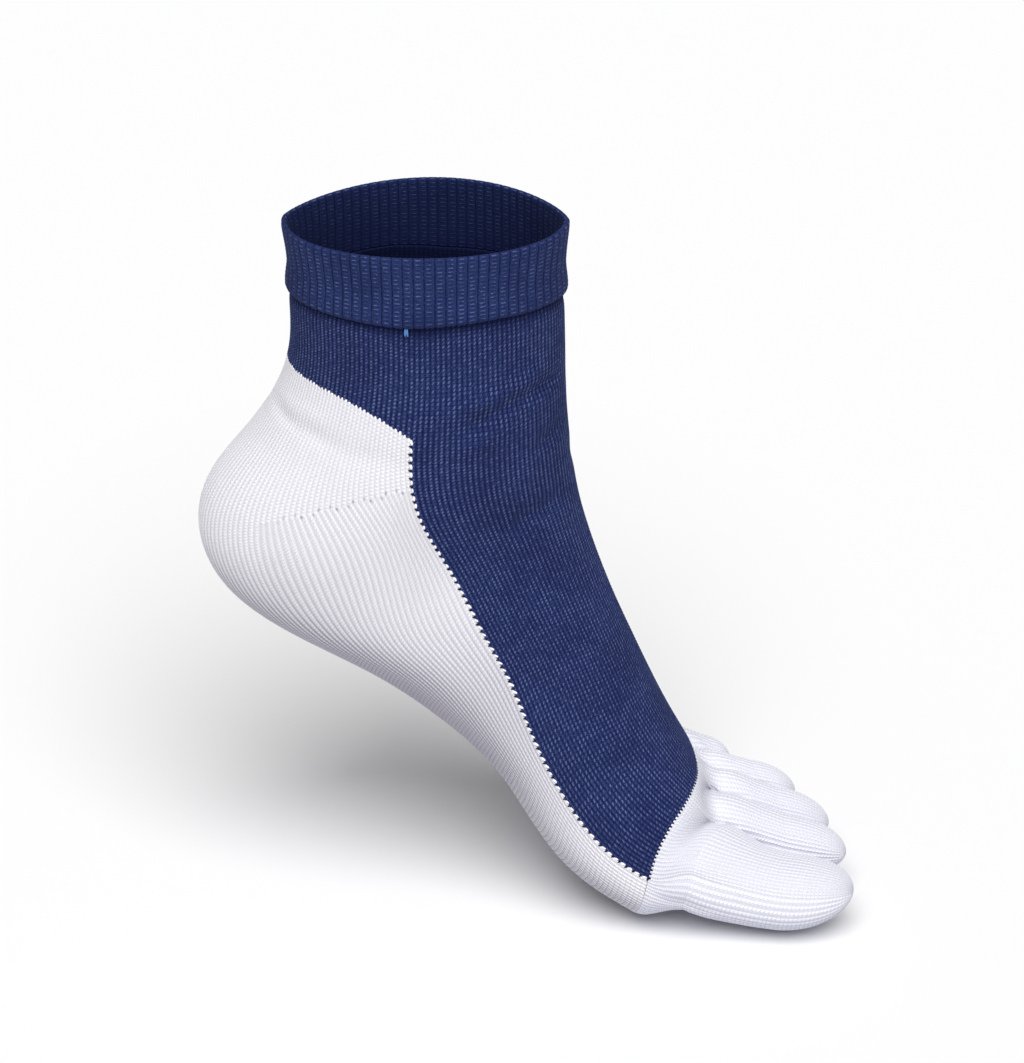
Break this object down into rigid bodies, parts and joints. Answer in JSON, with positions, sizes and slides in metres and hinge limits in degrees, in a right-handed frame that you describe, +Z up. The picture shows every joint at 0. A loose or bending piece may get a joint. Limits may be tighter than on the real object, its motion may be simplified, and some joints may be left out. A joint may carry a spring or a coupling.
{
  "type": "five-toe ankle sock",
  "caption": "Hollow knitted ankle sock for the left foot with separate toes, ribbed cuff, contrasting heel and sole, in worn shape.",
  "frame": {"origin": "middle of the cuff's opening, where the wearer's leg goes in and holds the sock", "axes": "+X towards the toes, -Y towards the inner side of the foot where the big toe is, +Z up the leg"},
  "size_m": [0.2133, 0.0935, 0.229],
  "materials": {
    "navy_knit": "matt navy knit",
    "white_knit": "matt white knit",
    "white_toe_knit": "matt bluish-white knit",
    "blue_thread": "bright blue sewing thread"
  },
  "bodies": {
    "root": {"cuff_welt": "navy_knit", "leg_instep": "navy_knit", "heel": "white_knit", "sole": "white_knit", "toe_base": "white_toe_knit", "toe_1_big": "white_toe_knit", "toe_2": "white_toe_knit", "toe_3": "white_toe_knit", "toe_4": "white_toe_knit", "toe_5_little": "white_toe_knit"}
  },
  "joints": []
}
